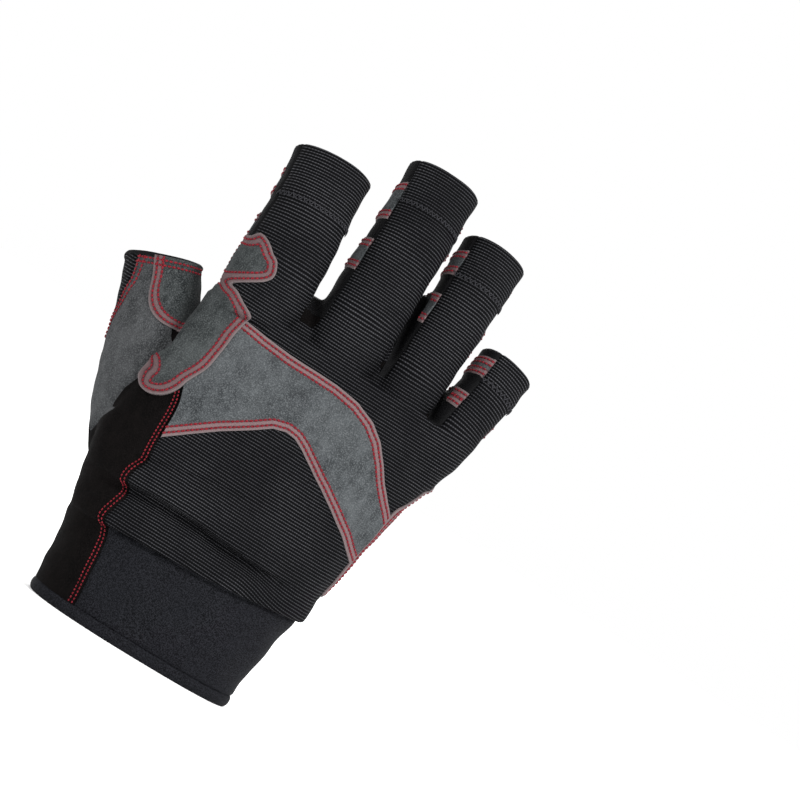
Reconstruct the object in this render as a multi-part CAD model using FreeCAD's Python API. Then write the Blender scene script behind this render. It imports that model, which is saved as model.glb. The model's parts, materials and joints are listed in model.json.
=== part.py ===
import FreeCAD, Part
import math
import os

from FreeCAD import Placement, Rotation, Vector

# Short-finger sailing glove for the right hand, sewn from stretch rib, suede and neoprene.
# Millimetres and degrees. The glove stands on its cuff: +Z runs to the fingertips, +X to the
# little finger, the back of the hand faces -Y and the palm faces +Y. The origin is the centre
# of the cuff opening. A left glove is this one mirrored in X.

# ---- cloth ----
WALL = 1.6              # shell panel with its lining
OVERLAY = 1.0           # suede sewn on top of a panel
GAP = 0.3               # gap between bodies that move against each other
FAR = 200.0             # reach of a cutting block, beyond everything

# ---- cuff ----
HEM_HEIGHT = 3.5        # folded hem round the wrist opening
HEM_PROUD = 0.6         # how far the hem's fold stands out
CUFF_TOP = 32.0         # where the neoprene cuff meets the hand panels
CUFF_SLOPE = 4.0        # the cuff seam climbs to the little finger side

# ---- hand: height, centre x, centre y, half width, half depth ----
HAND_SECTIONS = [
    (0, 0, 0, 37, 24),
    (30, 0, 0, 40.5, 24),
    (57, 0, 1, 47.5, 21),
    (85, 5, 0.5, 47.5, 16.5),
    (105, 10.5, 0, 49.5, 13.5),
    (140, 11, 0, 50, 12.5),
]
RADIAL_SEAM = -31.5     # x of the seam between the back and the thumb-side panel
ULNAR_SEAM_Y = 3.0      # the back panel turns this far past the middle at the little finger
EDGE_PATCH_FRONT, EDGE_PATCH_BACK = -3.0, 14.0   # grey patch on the little finger side
PALM_SIDE_Y = 8.0       # the thumb-side panel turns this far round to the palm

# ---- fingers ----
# base: centre of the knuckle ring; splay: turn towards +X; lean: turn towards the palm of the
# base and tip sleeves; length, width and depth: sleeve lengths, then half widths and half
# depths at knuckle, middle joint and end; back: the angles that the ribbed back covers;
# grip: length of the grip patch before the middle joint, and where the one past it ends.
FINGERS = {
    "index": dict(base=(-24.6, 0, 125.5), splay=-1.5, lean=(7, 16), length=(20.5, 22.5),
                  width=(14.0, 13.6, 13.0), depth=(12.0, 11.5, 10.8), back=(-72, 84),
                  grip=(14.5, 14.0)),
    "middle": dict(base=(7.0, 0, 125.0), splay=2, lean=(7, 16), length=(32.0, 27.0),
                   width=(13.2, 12.7, 12.2), depth=(12.2, 11.8, 10.6), back=(-65, 84),
                   grip=(16.0, 17.5)),
    "ring": dict(base=(32.2, 0, 119.0), splay=4.5, lean=(8, 17), length=(34.5, 19.5),
                 width=(10.6, 11.0, 10.7), depth=(10.5, 10.8, 10.0), back=(-60, 84),
                 grip=(15.5, 12.6)),
    "little": dict(base=(52.6, 0.5, 111.0), splay=12, lean=(8, 16), length=(19.5, 13.5),
                   width=(9.2, 9.5, 9.4), depth=(9.1, 9.3, 8.8), back=(-40, 88),
                   grip=(10.5, 9.5)),
}
KNUCKLE_BACKBEND = 10   # how far a knuckle bends backwards
MIDDLE_BACKBEND = 5
HINGE_PROUD = 0.5       # the bend line lies this far outside the palm side of the sleeve
GRIP_MARGIN = (4.2, 3.0)    # grip patches stop this far before and after the middle joint
OVERRUN = 8.0           # base sleeves are built this much longer, then cut at the middle joint

# ---- thumb ----
THUMB = dict(base=(-45.0, 17.0, 92.0), splay=-25, lean=4, roll=-50, length=21.0,
             width=(14.6, 12.4), depth=(13.4, 11.6))
THUMB_BACKBEND = 5
THUMB_BINDING = 3.0     # bound edge round the thumb opening
THUMB_ROOT = [          # centre, half width and half depth of the hidden root of the sleeve
    (Vector(-26, 8, 46), 15.0, 13.0),
    (Vector(-36, 13, 69), 17.0, 14.5),
]
THUMB_RIB = (-70, -17)         # angles from the thumb's back, towards the palm side
THUMB_OUTER = (-17, 22)
THUMB_INNER = (22, 75)
THENAR_BOTTOM = 53.0           # the grey thumb panel runs down to here

# ---- wrist strap, on the palm side of the cuff ----
STRAP_LOW, STRAP_HIGH = 8.5, 28.5
STRAP_END = -24.0              # free end
STRAP_HINGE = 24.0             # bend line beside the sewn end
STRAP_ANCHOR_END = 34.0        # outer end of the sewn tab
HOOK_SPAN = (-21.0, 2.0)
LOOP_SPAN = (-24.0, 14.0)
LOOP_THICK = 0.8
HOOK_THICK = 0.8
STRAP_THICK = 1.6


def oval(z, cx, cy, half_width, half_depth):
    """A closed ellipse in the plane of height z, never deeper than it is wide."""
    return Part.Wire(Part.Ellipse(Vector(cx, cy, z), half_width, half_depth).toShape())


def hand_solid(grow):
    """The hand's solid, every section larger all round by grow."""
    wires = [oval(z, cx, cy, a + grow, b + grow)
             for z, cx, cy, a, b in HAND_SECTIONS]
    return Part.makeLoft(wires, True, False)


def segment_rotation(splay, lean, roll=0):
    """Local axes of a sleeve: x across, y to the palm side, z to the open end."""
    turn = Rotation(Vector(0, 1, 0), splay) * Rotation(Vector(1, 0, 0), -lean)
    return turn * Rotation(Vector(0, 0, 1), roll)


def cone(start, end, low, high, grow=0.0, over=0.0):
    """A sleeve's solid in local axes; low and high are (half width, half depth).

    over lengthens it at both ends along the same taper, for use as a cutter.
    """
    wires = []
    for z in (start - over, end + over):
        t = (z - start) / (end - start)
        half_width = low[0] + (high[0] - low[0]) * t + grow
        half_depth = low[1] + (high[1] - low[1]) * t + grow
        wires.append(oval(z, 0, 0, half_width, half_depth))
    return Part.makeLoft(wires, True, True)


def block(x0, x1, y0, y1, z0, z1):
    return Part.makeBox(x1 - x0, y1 - y0, z1 - z0, Vector(x0, y0, z0))


def sector(first, last):
    """A tall wedge about local z between two angles from the back (-y), + towards +x."""
    steps = max(2, int((last - first) / 30) + 1)
    points = [Vector(0, 0, -FAR)]
    for i in range(steps + 1):
        angle = math.radians(first + (last - first) * i / steps)
        points.append(Vector(FAR * math.sin(angle), -FAR * math.cos(angle), -FAR))
    points.append(points[0])
    return Part.Face(Part.makePolygon(points)).extrude(Vector(0, 0, 2 * FAR))


def outline(*stretches):
    """A closed face in the XZ plane: two-point stretches are lines, longer ones are curves."""
    edges = []
    for stretch in stretches:
        points = [Vector(x, 0, z) for x, z in stretch]
        if len(points) == 2:
            edges.append(Part.LineSegment(*points).toShape())
        else:
            curve = Part.BSplineCurve()
            curve.interpolate(points)
            edges.append(curve.toShape())
    return Part.Face(Part.Wire(edges))


def prism(face, y0, y1):
    """The outline's face stretched through the glove from y0 to y1."""
    moved = face.copy()
    moved.translate(Vector(0, y0, 0))
    return moved.extrude(Vector(0, y1 - y0, 0))


def placed(shape, rotation, base):
    result = shape.copy()
    result.Placement = Placement(base, rotation).multiply(result.Placement)
    return result


def hinge_point(base, rotation, half_depth):
    """The bend line's middle: just outside the sleeve's palm side."""
    return base + rotation.multVec(Vector(0, half_depth + HINGE_PROUD, 0))


def beyond(base, rotation, half_depth, backbend, x0=-FAR, x1=FAR):
    """Everything past a joint's plane, less the V that backward bending needs."""
    tool = block(x0, x1, -FAR, FAR, -GAP, FAR)
    hinge = Vector(0, half_depth + HINGE_PROUD, 0)
    tool.rotate(hinge, Vector(1, 0, 0), backbend)
    return placed(tool, rotation, base)


def frames(finger):
    """Base centre, base rotation, middle-joint centre and tip rotation of one finger."""
    base = Vector(*finger["base"])
    base_turn = segment_rotation(finger["splay"], finger["lean"][0])
    middle = base + base_turn.multVec(Vector(0, 0, finger["length"][0]))
    tip_turn = segment_rotation(finger["splay"], finger["lean"][1])
    return base, base_turn, middle, tip_turn


def thumb_frame():
    return Vector(*THUMB["base"]), segment_rotation(THUMB["splay"], THUMB["lean"], THUMB["roll"])


def thumb_root(grow):
    """The sleeve's root, from inside the palm to past the thumb's joint."""
    base, turn = thumb_frame()
    past = base + turn.multVec(Vector(0, 0, THUMB["length"] / 2))
    wires = THUMB_ROOT + [
        (base, THUMB["width"][0], THUMB["depth"][0]),
        (past, THUMB["width"][0] - 1, THUMB["depth"][0] - 1),
    ]
    rings = [placed(oval(0, 0, 0, a + grow, b + grow), turn, centre)
             for centre, a, b in wires]
    return Part.makeLoft(rings, True, False)


def thumb_clearance():
    """Room for the thumb sleeve bent fully backwards."""
    base, turn = thumb_frame()
    low, high = zip(THUMB["width"], THUMB["depth"])
    sleeve = cone(0, THUMB["length"], low, high, GAP)
    hinge = Vector(0, THUMB["depth"][0] + HINGE_PROUD, 0)
    sleeve.rotate(hinge, Vector(1, 0, 0), THUMB_BACKBEND)
    return placed(sleeve, turn, base)


def finger_cutter():
    """Everything past the four knuckle planes, each over its own width of the hand."""
    names = list(FINGERS)
    walls = [-FAR]
    for left, right in zip(names, names[1:]):
        a, b = FINGERS[left], FINGERS[right]
        walls.append((a["base"][0] + a["width"][0] + b["base"][0] - b["width"][0]) / 2)
    walls.append(FAR)
    tools = []
    for i, name in enumerate(names):
        base, turn, _, _ = frames(FINGERS[name])
        past = beyond(base, turn, FINGERS[name]["depth"][0], KNUCKLE_BACKBEND)
        tools.append(past.common(block(walls[i], walls[i + 1], -FAR, FAR, 60, FAR)))
    return tools


def save(name, shape):
    """Keep a piece's solids, drop slivers, and write it."""
    solids = [s for s in shape.Solids if s.Volume > 1.0]
    piece = solids[0] if len(solids) == 1 else Part.makeCompound(solids)
    piece.exportStep("parts/" + name + ".step")
    return piece


def sleeve_pieces(name, turn, base, start, end, low, high, back, cutters):
    """Ribbed back and smooth wrap of one straight sleeve."""
    tube = cone(start, end, low, high).cut(cone(start, end, low, high, -WALL, 1))
    rib = sector(*back)
    for suffix, piece in (("_back", tube.common(rib)), ("_wrap", tube.cut(rib))):
        piece = placed(piece, turn, base)
        for tool in cutters:
            piece = piece.cut(tool)
        save(name + suffix, piece)


def sleeve_patch(name, turn, base, start, end, low, high, length, back):
    """Grip patch on the palm side of a sleeve, seam to seam, clear of the web patch."""
    skin = cone(0, length, low, high, OVERLAY).cut(cone(0, length, low, high, 0, 1))
    band = skin.common(block(-FAR, FAR, -FAR, FAR, start, end)).cut(sector(back[0], back[1]))
    band = placed(band, turn, base)
    if name == "index_base":
        band = band.cut(prism(web_patch_face(), -FAR, GAP))
    save(name + "_patch", band)


def make_finger(name, finger):
    base, base_turn, middle, tip_turn = frames(finger)
    base_length, tip_length = finger["length"]
    rings = list(zip(finger["width"], finger["depth"]))
    past_middle = beyond(middle, tip_turn, finger["depth"][1], MIDDLE_BACKBEND)
    reach = base_length + OVERRUN
    grip_base, grip_tip = finger["grip"]
    sleeve_pieces(name + "_base", base_turn, base, 0, reach, rings[0], rings[1],
                  finger["back"], [past_middle])
    sleeve_patch(name + "_base", base_turn, base, base_length - grip_base,
                 base_length - GRIP_MARGIN[0], rings[0], rings[1], reach, finger["back"])
    sleeve_pieces(name + "_tip", tip_turn, middle, 0, tip_length, rings[1], rings[2],
                  finger["back"], [])
    sleeve_patch(name + "_tip", tip_turn, middle, GRIP_MARGIN[1], grip_tip,
                 rings[1], rings[2], tip_length, finger["back"])


def make_thumb():
    base, turn = thumb_frame()
    low, high = zip(THUMB["width"], THUMB["depth"])
    length = THUMB["length"]
    tube = cone(0, length, low, high).cut(cone(0, length, low, high, -WALL, 1))
    sleeve = tube.common(block(-FAR, FAR, -FAR, FAR, 0, length - THUMB_BINDING))
    palm = sleeve
    for name, span in (("thumb_back", THUMB_RIB), ("thumb_outer_panel", THUMB_OUTER),
                       ("thumb_inner_patch", THUMB_INNER)):
        save(name, placed(sleeve.common(sector(*span)), turn, base))
        palm = palm.cut(sector(*span))
    save("thumb_palm", placed(palm, turn, base))
    binding = cone(0, length, low, high, OVERLAY / 2).cut(
        cone(0, length, low, high, -WALL - OVERLAY / 2, 1))
    binding = binding.common(block(-FAR, FAR, -FAR, FAR, length - THUMB_BINDING, length))
    save("thumb_binding", placed(binding, turn, base))


def cuff_top():
    """Everything above the sloping seam at the top of the cuff."""
    tool = block(-FAR, FAR, -FAR, FAR, 0, FAR)
    tool.rotate(Vector(0, 0, 0), Vector(0, 1, 0), -CUFF_SLOPE)
    tool.translate(Vector(0, 0, CUFF_TOP))
    return tool


def back_overlay_face():
    """Arch of suede across the back, from the web of the thumb to the little finger side."""
    return outline(
        [(-28.5, 109.5), (-9.5, 107.5), (9, 107.5), (25.5, 103.5), (36, 94), (48, 82)],
        [(48, 82), (49, 72), (46.5, 61.5)],
        [(46.5, 61.5), (27.5, 73.5), (10, 84), (3.5, 86), (-3, 84), (-16, 75), (-31.5, 63)],
        [(-31.5, 63), (-33.5, 80), (-31, 94), (-28.5, 109.5)],
    )


def web_patch_face():
    """Patch over the web of the thumb, with a lobe that climbs the back of the index finger."""
    return outline(
        [(-60, 135), (-35, 135)],
        [(-35, 135), (-29.5, 131), (-28, 125), (-32, 121), (-36, 117)],
        [(-36, 117), (-28, 111)],
        [(-28, 111), (-29.5, 99.5), (-32.5, 84), (-35, 77), (-40.5, 73), (-46, 74)],
        [(-46, 74), (-60, 74)],
        [(-60, 74), (-60, 135)],
    )


def make_hand():
    outer, inner = hand_solid(0), hand_solid(-WALL)
    root, root_inner = thumb_root(0), thumb_root(-WALL)
    thumb_base, thumb_turn = thumb_frame()
    past_thumb = beyond(thumb_base, thumb_turn, THUMB["depth"][0], THUMB_BACKBEND)
    root = root.cut(past_thumb)
    whole = outer.fuse(root)
    hollow = inner.fuse(root_inner)
    past_fingers = finger_cutter()
    shell = whole.cut(hollow).cut(past_fingers)
    above = cuff_top()
    upper = shell.common(above).cut(thumb_clearance())

    make_cuff(shell.cut(above), outer, inner)

    dorsal = block(RADIAL_SEAM, FAR, -FAR, ULNAR_SEAM_Y, -FAR, FAR)
    radial = block(-FAR, RADIAL_SEAM, -FAR, PALM_SIDE_Y, -FAR, FAR)
    thenar = radial.common(placed(sector(THUMB_RIB[0], THUMB_OUTER[1]), thumb_turn, thumb_base))
    thenar = thenar.common(block(-FAR, FAR, -FAR, FAR, THENAR_BOTTOM, FAR)).cut(outer)
    save("back_panel", upper.common(dorsal))
    save("thenar_panel", upper.common(thenar))
    save("side_panel", upper.common(radial).cut(thenar))
    save("palm_panel", upper.cut(dorsal).cut(radial))

    skin = hand_solid(OVERLAY).cut(whole).cut(past_fingers).cut(thumb_root(OVERLAY))
    web_prism = prism(web_patch_face(), -FAR, PALM_SIDE_Y - 4)
    arch = skin.common(prism(back_overlay_face(), -FAR, 0)).cut(web_prism)
    save("back_overlay", arch)
    web = skin.common(web_prism)
    save("web_patch", web.common(block(-FAR, FAR, -FAR, FAR, 60, FAR)))
    make_palm_overlays(skin)


def make_palm_overlays(skin):
    """Grip patches on the palm and a wrap-round patch on the little finger side."""
    grip = outline(
        [(-26, 112), (-8, 115), (18, 112), (40, 104), (47, 98)],
        [(47, 98), (46, 88)],
        [(46, 88), (25, 80), (5, 76), (-12, 80), (-22, 92)],
        [(-22, 92), (-26, 112)],
    )
    save("palm_patch", skin.common(prism(grip, 2, FAR)))
    heel = outline(
        [(6, 70), (18, 74), (29, 72), (33.5, 60), (30, 46), (20, 41), (9, 49)],
        [(9, 49), (6, 70)],
    )
    save("heel_patch", skin.common(prism(heel, 2, FAR)))
    edge = outline([(49, 97), (70, 97)], [(70, 97), (70, 46)], [(70, 46), (36, 46)],
                   [(36, 46), (41, 62), (45, 80), (49, 97)])
    save("edge_patch", skin.common(prism(edge, EDGE_PATCH_FRONT, EDGE_PATCH_BACK)))


def make_cuff(lower, outer, inner):
    hem_zone = block(-FAR, FAR, -FAR, FAR, -1, HEM_HEIGHT)
    save("cuff_band", lower.cut(hem_zone))
    hem = hand_solid(HEM_PROUD).cut(inner).common(block(-FAR, FAR, -FAR, FAR, 0, HEM_HEIGHT))
    save("cuff_hem", hem)


def strap_layer(inside, outside, x0, x1, z0, z1):
    """A curved band that follows the palm side of the cuff, between two offsets."""
    band = hand_solid(outside).cut(hand_solid(inside))
    return band.common(block(x0, x1, 0, FAR, z0, z1))


def make_strap():
    hook_low = LOOP_THICK + GAP
    strap_low = hook_low + HOOK_THICK
    strap_high = strap_low + STRAP_THICK
    inset = 1.5
    save("loop_patch", strap_layer(0, LOOP_THICK, *LOOP_SPAN, STRAP_LOW, STRAP_HIGH))
    save("hook_patch", strap_layer(hook_low, strap_low, *HOOK_SPAN,
                                   STRAP_LOW + inset, STRAP_HIGH - inset))
    save("wrist_strap", strap_layer(strap_low, strap_high, STRAP_END, STRAP_HINGE,
                                    STRAP_LOW, STRAP_HIGH))
    save("strap_anchor", strap_layer(0, strap_high, STRAP_HINGE + GAP, STRAP_ANCHOR_END,
                                     STRAP_LOW, STRAP_HIGH))


def make_index_lobe():
    """The top lobe of the web patch, on the back of the index finger."""
    finger = FINGERS["index"]
    base, turn, _, _ = frames(finger)
    low, high = list(zip(finger["width"], finger["depth"]))[:2]
    length = finger["length"][0]
    reach = length + OVERRUN
    skin = cone(0, reach, low, high, OVERLAY).cut(cone(0, reach, low, high, 0, 1))
    skin = skin.common(block(-FAR, FAR, -FAR, FAR, 0, length - 1))
    save("web_patch_lobe", placed(skin, turn, base).common(prism(web_patch_face(), -FAR, 0)))


def main():
    os.makedirs("parts", exist_ok=True)
    make_hand()
    make_strap()
    make_thumb()
    for name, finger in FINGERS.items():
        make_finger(name, finger)
    make_index_lobe()


main()
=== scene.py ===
import json
import math

import bpy
import numpy as np
from mathutils import Matrix, Vector


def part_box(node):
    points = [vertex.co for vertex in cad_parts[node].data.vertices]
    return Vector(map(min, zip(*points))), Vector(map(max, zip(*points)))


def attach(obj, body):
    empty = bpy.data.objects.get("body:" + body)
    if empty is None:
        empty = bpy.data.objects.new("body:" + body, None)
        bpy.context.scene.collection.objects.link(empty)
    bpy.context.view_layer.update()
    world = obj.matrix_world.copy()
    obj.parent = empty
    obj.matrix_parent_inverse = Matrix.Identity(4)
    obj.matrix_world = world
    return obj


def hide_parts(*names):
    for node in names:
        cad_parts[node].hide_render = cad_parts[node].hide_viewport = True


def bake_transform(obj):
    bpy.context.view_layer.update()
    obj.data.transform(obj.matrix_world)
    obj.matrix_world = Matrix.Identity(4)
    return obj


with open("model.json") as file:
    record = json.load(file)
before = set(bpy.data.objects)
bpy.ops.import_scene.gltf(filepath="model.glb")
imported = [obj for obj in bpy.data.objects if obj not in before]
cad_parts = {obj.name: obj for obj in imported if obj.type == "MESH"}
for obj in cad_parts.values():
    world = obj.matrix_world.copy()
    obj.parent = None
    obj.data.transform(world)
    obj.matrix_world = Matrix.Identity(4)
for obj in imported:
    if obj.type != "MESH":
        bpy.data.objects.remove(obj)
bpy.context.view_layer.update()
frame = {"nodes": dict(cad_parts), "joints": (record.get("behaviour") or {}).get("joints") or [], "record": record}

# Lengths are millimetres until a mesh is made; MM turns them into metres.
MM = 0.001
TINY = 1e-9
JOINTS = {j["name"]: j for j in frame["joints"]}
MOUNTS = {m["name"]: m for m in frame["record"]["mounts"]}
FINGERS = ("index", "middle", "ring", "little")

# ---- the hidden surface that every piece is cut from ----
VOXEL = 0.75   # grid of the surface
SMOOTH_PASSES = 10                    # rounds the crotches between the fingers
SHRINK, REGROW = 0.55, -0.5           # shares of each smoothing pass
HAND_POWER = 2.35                     # 2 is an ellipse, more is squarer
SLEEVE_POWER = 2.1
HAND_SIDES, SLEEVE_SIDES, WEB_SIDES = 72, 48, 32
HAND_RINGS = 60

# ---- cloth ----
WALL = 1.5                            # panel cloth with lining
SUEDE = 0.75                          # suede sewn on top
SUNK = 0.25                           # how deep sewn suede reaches into its panel
SEAM_WIDTH = 1.1                      # a sewn seam sinks over this width
SEAM_DEPTH = 0.55
RIB_PITCH = 1.02
HEM_HEIGHT = 4.0
CUFF_LINE = (33.4, 0.072)             # height of the cuff seam at x = 0, and its climb per mm
TEAR_MARGIN = 3.0                     # a sleeve starts this far before its bend line
BLEND_AFTER = 13.0
LEAST_PART = 0.12                     # a smaller share of the largest part is a scrap
PALM_RISE = 3.0                       # palm patches start at y = 0; their field climbs this fast

# ---- thread ----
STITCH_PITCH = 1.5
STITCH_RADIUS = 0.36
STITCH_SIDES = 6
STITCH_RINGS = [(-0.5, 0.0), (-0.42, 0.62), (-0.2, 1.0), (0.2, 1.0), (0.42, 0.62), (0.5, 0.0)]
ROWS = (1.15, 2.85)                   # stitch rows on suede, from the raw edge
SEAM_ROWS = (0.8, 1.9)
THUMB_ROWS = (1.2, 3.1)
THUMB_END_ROWS = (1.9, 3.5)
THUMB_BOUND = 1.3                     # width of the thumb's bound edge
HEM_ROWS = {"index": 18.3, "middle": 15.4, "ring": 15.6, "little": 11.0}

# ---- hand: height, centre x, centre y, half width, half depth, as the CAD shell has them ----
HAND_SECTIONS = np.array([
    (-8, 0, 0, 36.6, 24), (0, 0, 0, 37, 24), (15, 0, 0, 38.2, 24.2), (30, 0, 0, 40.8, 23.6),
    (43, 0, 0.4, 44, 22.4), (57, 0, 1, 47.3, 21), (71, 2.4, 0.8, 47.4, 18.8), (85, 5, 0.5, 47.5, 16.5),
    (95, 8, 0.2, 48.4, 14.8), (105, 10.5, 0, 49.4, 13.4), (114, 10.9, 0, 49.8, 12.8),
], float)
# ---- rings of the thumb's root and of the webs: centre, half width, half depth, upwards ----
THUMB_ROOT = [((-26, 8, 46), 14.5, 12.5), ((-31, 10.5, 57), 16.5, 14), ((-36.5, 13, 69), 17, 14.5),
              ((-41.5, 15.4, 82), 15.8, 14)]
THUMB_WEB = [((-37, 12, 80), 6, 7), ((-37, 8, 92), 4.5, 6.5), ((-34.2, 4, 100), 3, 5.5),
             ((-31, 1, 112), 4, 6)]
WEBS = [
    [((-8.5, 1, 108), 6, 10), ((-8.6, 2.5, 117), 5.5, 9), ((-8.2, 6, 124), 4.5, 5.5),
     ((-8, 7.5, 128), 3.5, 3)],
    [((20.9, 1.5, 108), 5, 9), ((21.2, 4, 122), 4, 8), ((21.8, 8, 136), 3.2, 5),
     ((22.6, 10, 147), 2.6, 3.5)],
    [((42.6, 1.5, 100), 4, 8), ((43.5, 3.5, 112), 4, 7), ((45, 6, 120), 2.8, 4),
     ((46, 7.2, 124.5), 2.2, 2.6)],
]

# ---- outlines on the hand, (x, z), and on its little-finger edge, (y, z) ----
ARCH = [(-28.5, 109.5), (-19, 108.4), (-9.5, 107.6), (0, 107.5), (9, 107.5), (18, 106.3), (25.5, 103.5),
        (31, 99.5), (36, 94), (40.5, 88.5), (45.5, 83.8), (52, 78), (60, 70), (60, 52), (45.4, 61.2),
        (36.8, 67.3), (27.3, 73.4), (17.6, 79.2), (10, 83.8), (6, 85.7), (2.5, 86.1), (-2, 84.8),
        (-7, 81.2), (-16, 75.3), (-24, 69.2), (-30.6, 63.8), (-42, 54.0), (-46, 84), (-42, 112)]
WEB = [(-62, 127), (-50, 135), (-42, 136), (-39, 132.5), (-36.8, 135.4), (-33.6, 134.2), (-31, 131.8),
       (-28.7, 130.2), (-27.2, 126), (-29, 122.8), (-34, 119.2), (-36.4, 116.8), (-34, 115.8), (-31, 113.8),
       (-26.5, 111.2), (-26.6, 108), (-27.4, 103), (-28, 97), (-29, 91), (-30.4, 87), (-32.3, 83),
       (-33.6, 79.4), (-36.2, 75.6), (-39.8, 73.4), (-42.6, 73.4), (-43.9, 75.3), (-44, 78.5),
       (-43.6, 81.5), (-47, 84.5), (-62, 91)]
PALM_GRIP = [(-25, 110), (-10, 114), (10, 113), (28, 108), (42, 101), (47.5, 95), (46.5, 87), (38, 82),
             (24, 79), (8, 76), (-6, 78), (-16, 85), (-22, 95)]
HEEL_GRIP = [(8, 70), (16, 73.5), (25, 73), (31, 68), (33, 58), (30.5, 48), (25, 42.5), (18, 41.5),
             (11, 47), (7.5, 55), (7, 64)]
EDGE_GRIP = [(-6.4, 51), (-6.8, 80), (-3.6, 87), (-3, 94), (0, 97), (10, 97), (13, 94), (13, 50), (10, 47),
             (-3.4, 47)]
# ---- bent lines: (x, z) for the folds, (z, x) for the seams, (height, degrees) on the thumb ----
SECOND_FOLD = [(-60, 44.5), (-34, 45.6), (-24, 47.2), (-12, 47.3), (0, 46.6), (12, 45.6), (24, 45.3),
               (60, 45.4)]
THIRD_FOLD = [(-60, 54), (-34, 55), (-20, 58.5), (-8, 61), (10, 62)]
RED_SEAM = [(-10, -26.2), (6, -26.5), (12.4, -27.1), (19.1, -27.8), (26.6, -28.9), (32.6, -30.9),
            (34.1, -32.3),
            (37.9, -31.4), (42.3, -30.5), (46.9, -32.4), (49.9, -32.8), (55.1, -30.5), (60.3, -31.2),
            (66.3, -31.3), (71.6, -31.3), (76.1, -31.6), (84, -34), (92, -37.5), (130, -38.5)]
THENAR_EDGE = [(50, -45.4), (58, -46.0), (65, -46.4), (70.6, -46.2), (79.6, -43.3), (86, -41.6),
               (93, -39.2),
               (110, -36)]
WEB_LEFT = [(74, -60), (79, -60), (81.5, -45.5), (83.5, -43), (86, -42), (90, -40.4), (98, -41), (103, -48),
            (107, -62)]
THUMB_SEAM = [(-12, -74), (0, -56), (6, -37), (14, -16), (22, -7)]
# ---- finger sleeves: back sector in degrees, patch spans from the middle bend line ----
BACK_SECTOR = {"index": (-74, 84), "middle": (-66, 84), "ring": (-60, 84), "little": (-40, 88)}
PATCH_SPANS = {"index": ((-14.5, -4.2), (3, 14)), "middle": ((-16, -4.2), (3, 17.5)),
               "ring": ((-15.5, -4.2), (2.6, 12.6)), "little": ((-10.5, -4.2), (1.8, 9.5))}
GRIP_INSET = {"index": 6.5}           # the index's grips stop this far short of its ribbed back

# ---- wrist strap ----
STRAP_TOP = 3.5                       # the strap's outer face, above the cuff
STRAP_UNDER = 1.95
STRAP_STITCH_PITCH = 1.9
STRAP_INSET = 1.8

# ---- camera ----
CAMERA_AZIMUTH = -15.0
CAMERA_ROLL = 32.5
CAMERA_DISTANCE = 1.3
FRAME_WIDTH = 0.258
SENSOR_WIDTH = 36
AIM = Vector((0.0305, -0.0082, 0.1143))


def unit(v):
    v = np.asarray(v, float)
    return v / np.linalg.norm(v)


def unit_rows(v):
    return v / np.maximum(np.linalg.norm(v, axis=1), TINY)[:, None]


def smoothstep(x):
    x = np.clip(x, 0, 1)
    return x * x * (3 - 2 * x)


def soft_min(a, b, width):
    h = np.clip(0.5 + 0.5 * (b - a) / width, 0, 1)
    return b * (1 - h) + a * h - width * h * (1 - h) * 0.5


def smoothed(rows, rounds):
    """A line with its corners rounded off; its ends stay."""
    rows = rows.copy()
    for _ in range(rounds):
        rows[1:-1] = rows[1:-1] * 0.5 + (rows[:-2] + rows[2:]) * 0.25
    return rows


def placed(name, data):
    """A new object in the scene."""
    obj = bpy.data.objects.new(name, data)
    bpy.context.scene.collection.objects.link(obj)
    return obj


# ======== reading the frame

def rows_of(items, key, width, kind=float):
    """One property of a mesh's points, edges or triangles, a row for each."""
    flat = np.zeros(len(items) * width, kind)
    items.foreach_get(key, flat)
    return flat.reshape(-1, width)


def cad_edges(nodes):
    """Every edge of some CAD nodes as two arrays of points, in mm."""
    starts, stops = [], []
    for name in nodes:
        mesh = frame["nodes"][name].data
        points = rows_of(mesh.vertices, "co", 3) / MM
        edges = rows_of(mesh.edges, "vertices", 2, int)
        starts.append(points[edges[:, 0]])
        stops.append(points[edges[:, 1]])
    return np.vstack(starts), np.vstack(stops)


def ring_at(nodes, origin, axes, height):
    """(centre x, centre y, half width, half depth) of some nodes cut at a local height."""
    a, b = [(p - origin) @ axes.T for p in cad_edges(nodes)]
    cross = (a[:, 2] - height) * (b[:, 2] - height) < 0
    t = ((height - a[cross, 2]) / (b[cross, 2] - a[cross, 2]))[:, None]
    p = a[cross] + t * (b[cross] - a[cross])
    lo, hi = p.min(0), p.max(0)
    return (lo[0] + hi[0]) / 2, (lo[1] + hi[1]) / 2, (hi[0] - lo[0]) / 2, (hi[1] - lo[1]) / 2


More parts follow.
